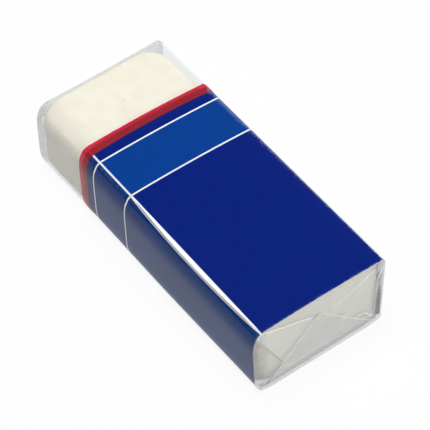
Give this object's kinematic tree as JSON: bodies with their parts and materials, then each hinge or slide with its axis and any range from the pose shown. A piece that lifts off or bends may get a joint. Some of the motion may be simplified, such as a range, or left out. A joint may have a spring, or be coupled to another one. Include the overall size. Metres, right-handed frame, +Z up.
{
  "type": "rubber eraser",
  "caption": "Soft rubber eraser block in a folded printed card sleeve, sealed in clear film with a red tear tape, one end of the block bare.",
  "frame": {"origin": "middle of the bottom of the whole pack", "axes": "+X along the eraser towards the sleeve's mouth, the bare end at -X; +Y towards the hidden narrow side with the seam; +Z up"},
  "size_m": [0.057, 0.0242, 0.0145],
  "materials": {
    "rubber": "soft matte",
    "printed_card": "coated print",
    "red_tape": "translucent",
    "clear_film": "glossy film"
  },
  "bodies": {
    "root": {"eraser_block": "rubber", "card_sleeve": "printed_card", "tear_tape": "red_tape", "film_wrap": "clear_film"}
  },
  "joints": []
}
